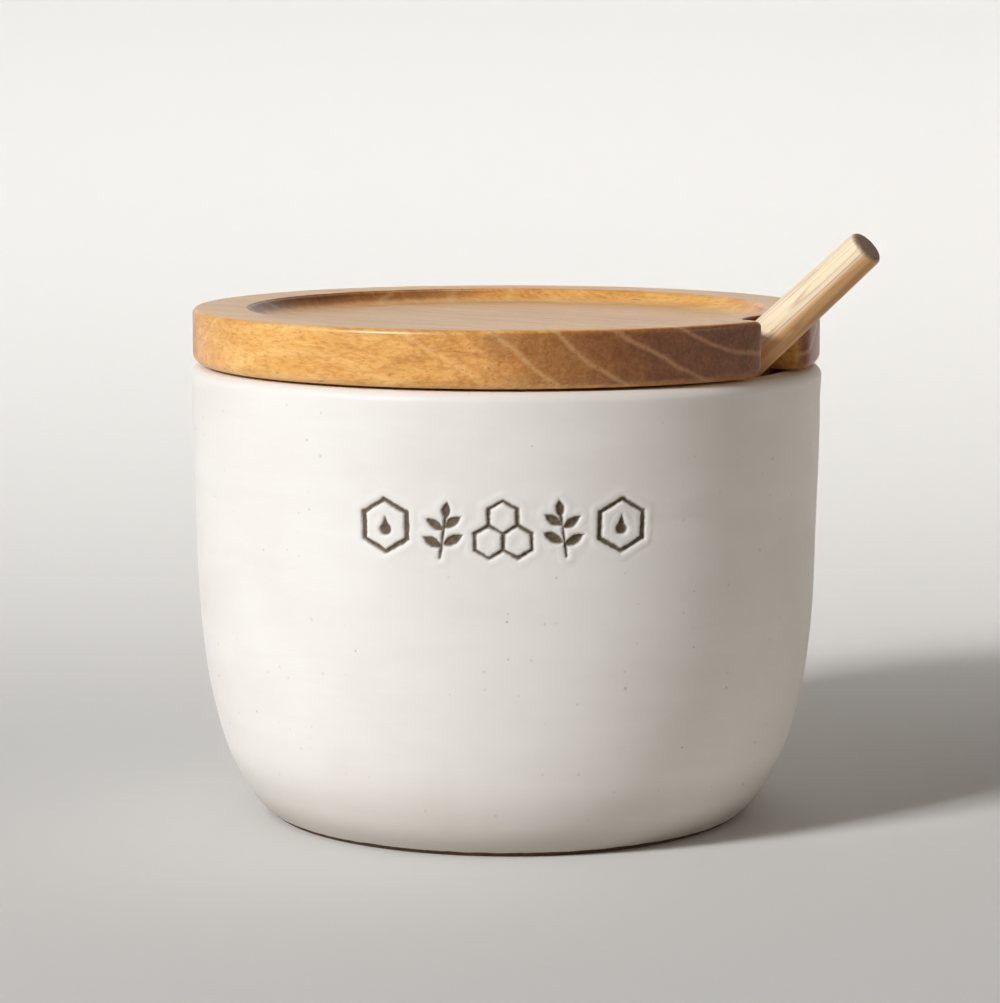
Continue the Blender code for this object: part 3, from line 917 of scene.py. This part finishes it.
def make_floor():
    """A pale floor that sweeps up behind the pot, without an edge."""
    curve = arc(FLOOR_FAR, SWEEP_RADIUS, SWEEP_RADIUS, -90, 0, 48)
    line = np.vstack([[(FLOOR_NEAR, 0.0)], curve, [(FLOOR_FAR + SWEEP_RADIUS, SWEEP_TOP)]])
    verts = [(side, y, z) for y, z in line for side in (-SWEEP_HALF, SWEEP_HALF)]
    faces = [(2 * i, 2 * i + 1, 2 * i + 3, 2 * i + 2) for i in range(len(line) - 1)]
    sweep = object_from("sweep", verts, faces)
    sweep.data.materials.append(floor_material())


def area_light(name, place, target, size, power, colour, spread=180):
    """A soft rectangle of light at a place, turned to a target. A small spread narrows its beam."""
    data = bpy.data.lights.new(name, "AREA")
    data.spread = math.radians(spread)
    data.shape = "RECTANGLE"
    data.size, data.size_y = size
    data.energy = power
    data.color = colour
    light = bpy.data.objects.new(name, data)
    light.location = place
    light.rotation_euler = (Vector(target) - Vector(place)).to_track_quat("-Z", "Y").to_euler()
    bpy.context.scene.collection.objects.link(light)


def from_the_pot(azimuth_deg, elevation_deg, distance):
    """A place seen from the pot: azimuth from the front towards the right, in metres."""
    a, e = math.radians(azimuth_deg), math.radians(elevation_deg)
    flat = distance * math.cos(e)
    return (flat * math.sin(a), -flat * math.cos(a), LIGHT_AIM + distance * math.sin(e))


def make_lights():
    """A key from the left front, a warm fill from the right, and two strips behind the pot."""
    aim = (0.0, 0.0, LIGHT_AIM)
    key = from_the_pot(-49, 30, 2.4)
    area_light("key", key, aim, size=(0.44, 0.44), power=6.4, colour=KEY_WHITE, spread=60)
    fill = from_the_pot(70, 20, 1.2)
    area_light("fill", fill, aim, size=(0.9, 0.6), power=2.0, colour=FILL_WARM)
    place, backdrop = (0.0, 0.80, 0.95), (0.0, 0.53, 0.10)
    area_light("wash", place, backdrop, size=(3.0, 0.1), power=4.2, colour=WASH_WHITE, spread=47)
    place, lid = (0.0, 0.75, 0.30), (0.0, 0.0, 0.09)
    area_light("sheen", place, lid, size=(0.7, 0.14), power=0.5, colour=SHEEN_WHITE)


def make_world():
    """A dim room, a little lighter below the horizon."""
    world = bpy.data.worlds.new("studio")
    world.use_nodes = True
    nodes, links = world.node_tree.nodes, world.node_tree.links
    coords = nodes.new("ShaderNodeTexCoord")
    parts = nodes.new("ShaderNodeSeparateXYZ")
    ramp = nodes.new("ShaderNodeValToRGB")
    for element, (place, colour) in zip(ramp.color_ramp.elements, (HORIZON, SKY)):
        element.position = place
        element.color = colour
    links.new(coords.outputs["Generated"], parts.inputs["Vector"])
    links.new(parts.outputs["Z"], ramp.inputs["Fac"])
    links.new(ramp.outputs["Color"], nodes["Background"].inputs["Color"])
    bpy.context.scene.world = world


def make_camera():
    """The photograph's view, from above the lid's height and looking slightly down."""
    data = bpy.data.cameras.new("camera")
    data.sensor_width = SENSOR
    data.sensor_fit = "VERTICAL"
    data.sensor_height = SENSOR
    data.lens = FOCAL_PIXELS * SENSOR / PICTURE_SIDE
    data.clip_start = 0.01
    camera = bpy.data.objects.new("camera", data)
    camera.location = (-CAMERA_LEFT, -CAMERA_DISTANCE, CAMERA_HEIGHT)
    camera.rotation_euler = (math.pi / 2 - CAMERA_PITCH, 0.0, 0.0)
    bpy.context.scene.collection.objects.link(camera)
    bpy.context.scene.camera = camera


def dress(piece, node, material):
    """A finished piece in the place of one solid."""
    piece.data.materials.append(material)
    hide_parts(node)
    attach(piece, "root")


make_camera()
dress(make_pot(), "pot", stoneware_material())
dress(make_lid(), "lid", lid_wood_material())
dress(make_dipper(), "dipper", dipper_wood_material())
make_floor()
make_lights()
make_world()
bpy.context.scene.view_settings.view_transform = "Standard"
